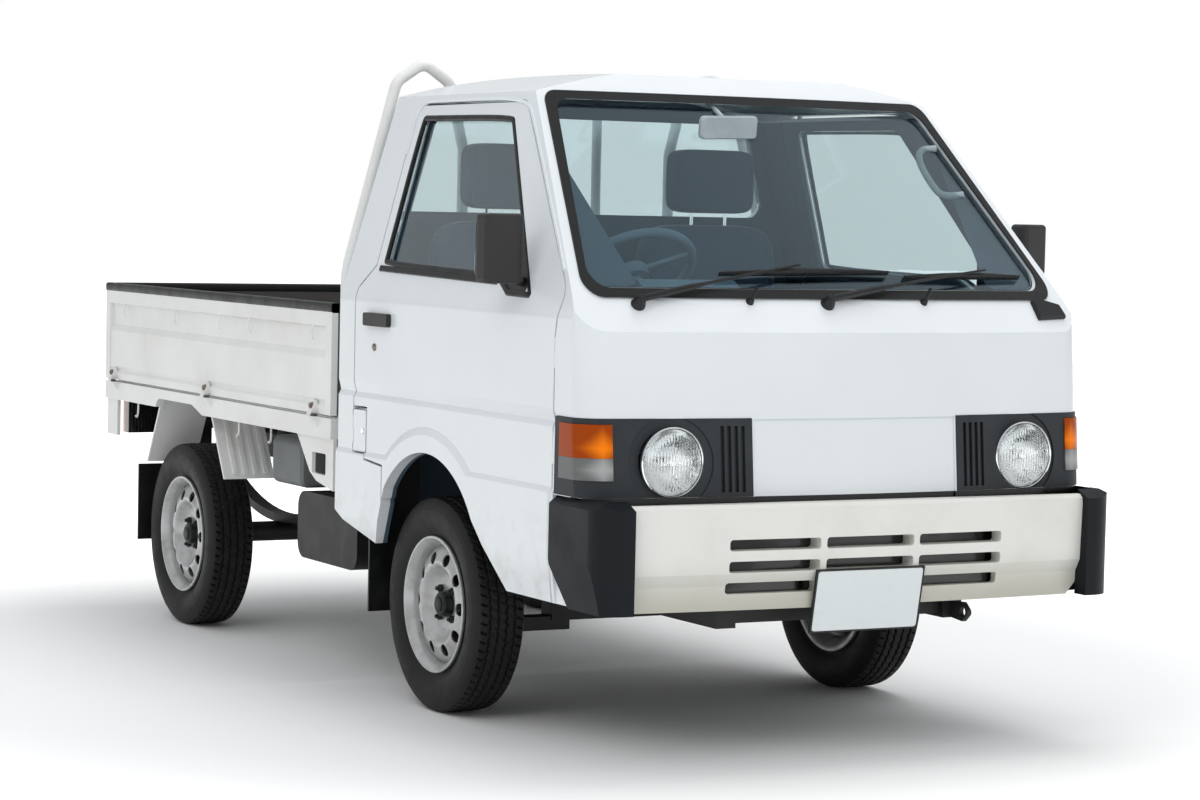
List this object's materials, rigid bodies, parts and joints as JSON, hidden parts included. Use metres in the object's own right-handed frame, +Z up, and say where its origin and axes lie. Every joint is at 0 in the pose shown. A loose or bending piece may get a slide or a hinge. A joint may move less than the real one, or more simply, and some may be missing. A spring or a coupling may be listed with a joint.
{
  "type": "flatbed truck",
  "caption": "Small cab-over flatbed truck with drop-side load bed, hinged doors, steered front wheels and a tubular guard behind the cab.",
  "frame": {"origin": "on the ground, at the middle of the truck's length and width", "axes": "+X forward, +Y to the truck's left, +Z up"},
  "size_m": [3.7832, 1.826, 1.8839],
  "materials": {
    "cab_paint": "gloss",
    "bed_paint": "aged gloss",
    "chassis_black": "satin",
    "charcoal_plastic": "grained",
    "black_rubber": "matt",
    "tyre_rubber": "matt",
    "silver_rim": "satin",
    "bare_steel": "rough",
    "clear_glass": "polished",
    "lamp_glass": "fluted",
    "amber_lens": "moulded",
    "red_lens": "moulded",
    "seat_cloth": "woven",
    "plate_white": "satin",
    "dash_plastic": "grained"
  },
  "bodies": {
    "chassis": {"frame_rail_right": "chassis_black", "frame_rail_left": "chassis_black", "cross_members": "chassis_black", "front_suspension": "chassis_black", "rear_axle": "chassis_black", "engine": "bare_steel", "propeller_shaft": "chassis_black", "fuel_tank": "chassis_black", "exhaust": "bare_steel", "cab_floor": "chassis_black", "cab_front": "cab_paint", "cab_side_right": "cab_paint", "cab_side_left": "cab_paint", "cab_back": "cab_paint", "cab_roof": "cab_paint", "windscreen": "clear_glass", "windscreen_rubber": "black_rubber", "rear_glass": "clear_glass", "lamp_panels": "charcoal_plastic", "headlamps": "lamp_glass", "turn_lamps": "amber_lens", "side_lamps": "lamp_glass", "bumper": "bed_paint", "bumper_corners": "charcoal_plastic", "number_plate": "plate_white", "dashboard": "dash_plastic", "wipers": "charcoal_plastic", "service_box": "charcoal_plastic", "seat_cushions": "seat_cloth", "seat_backs": "seat_cloth", "headrests": "seat_cloth", "bed_deck": "bed_paint", "bed_bearers": "chassis_black", "front_guard": "bed_paint", "rear_mudguards": "bed_paint", "mud_flaps": "black_rubber", "tail_lamps": "red_lens"},
    "steering_wheel": {"steering_wheel": "dash_plastic"},
    "door_right": {"door_right": "cab_paint", "door_glass_right": "clear_glass", "door_mirror_right": "charcoal_plastic", "door_handle_right": "charcoal_plastic"},
    "door_left": {"door_left": "cab_paint", "door_glass_left": "clear_glass", "door_mirror_left": "charcoal_plastic", "door_handle_left": "charcoal_plastic"},
    "fuel_lid": {"fuel_lid": "cab_paint"},
    "gate_right": {"gate_right": "bed_paint"},
    "gate_left": {"gate_left": "bed_paint"},
    "gate_rear": {"gate_rear": "bed_paint"},
    "knuckle_right": {"knuckle_right": "bare_steel"},
    "knuckle_left": {"knuckle_left": "bare_steel"},
    "wheel_front_right": {"tyre_front_right": "tyre_rubber", "rim_front_right": "silver_rim"},
    "wheel_front_left": {"tyre_front_left": "tyre_rubber", "rim_front_left": "silver_rim"},
    "wheel_rear_right": {"tyre_rear_right": "tyre_rubber", "rim_rear_right": "silver_rim"},
    "wheel_rear_left": {"tyre_rear_left": "tyre_rubber", "rim_rear_left": "silver_rim"}
  },
  "joints": [
    {"name": "steer_right", "type": "hinge", "parent": "chassis", "child": "knuckle_right", "pos_m": [0.75, -0.555, 0.308], "axis": [0, 0, 1], "range_deg": [-30, 30]},
    {"name": "steer_left", "type": "hinge", "parent": "chassis", "child": "knuckle_left", "pos_m": [0.75, 0.555, 0.308], "axis": [0, 0, 1], "range_deg": [-30, 30]},
    {"name": "front_wheel_right", "type": "hinge", "parent": "knuckle_right", "child": "wheel_front_right", "pos_m": [0.75, -0.667, 0.308], "axis": [0, 1, 0], "continuous": true},
    {"name": "rear_wheel_right", "type": "hinge", "parent": "chassis", "child": "wheel_rear_right", "pos_m": [-1.25, -0.667, 0.308], "axis": [0, 1, 0], "continuous": true},
    {"name": "door_hinge_right", "type": "hinge", "parent": "chassis", "child": "door_right", "pos_m": [1.5775, -0.791, 0.9], "axis": [0, 0, 1], "range_deg": [0, 70]},
    {"name": "gate_hinge_right", "type": "hinge", "parent": "chassis", "child": "gate_right", "pos_m": [-0.85, -0.811, 0.802], "axis": [1, 0, 0], "range_deg": [0, 175]},
    {"name": "front_wheel_left", "type": "hinge", "parent": "knuckle_left", "child": "wheel_front_left", "pos_m": [0.75, 0.667, 0.308], "axis": [0, 1, 0], "continuous": true},
    {"name": "rear_wheel_left", "type": "hinge", "parent": "chassis", "child": "wheel_rear_left", "pos_m": [-1.25, 0.667, 0.308], "axis": [0, 1, 0], "continuous": true},
    {"name": "door_hinge_left", "type": "hinge", "parent": "chassis", "child": "door_left", "pos_m": [1.5775, 0.791, 0.9], "axis": [0, 0, -1], "range_deg": [0, 70]},
    {"name": "gate_hinge_left", "type": "hinge", "parent": "chassis", "child": "gate_left", "pos_m": [-0.85, 0.811, 0.802], "axis": [-1, 0, 0], "range_deg": [0, 175]},
    {"name": "gate_hinge_rear", "type": "hinge", "parent": "chassis", "child": "gate_rear", "pos_m": [-1.883, 0, 0.802], "axis": [0, -1, 0], "range_deg": [0, 175]},
    {"name": "fuel_lid_hinge", "type": "hinge", "parent": "chassis", "child": "fuel_lid", "pos_m": [0.298, -0.7945, 0.778], "axis": [0, 0, -1], "range_deg": [0, 95]},
    {"name": "steering_turn", "type": "hinge", "parent": "chassis", "child": "steering_wheel", "pos_m": [1.2, -0.366, 1.269], "axis": [-0.6428, 0, 0.766], "range_deg": [-360, 360]}
  ],
  "couplings": [
    {"joint": "steer_left", "follows": "steer_right", "ratio": 1},
    {"joint": "steering_turn", "follows": "steer_right", "ratio": 12}
  ]
}
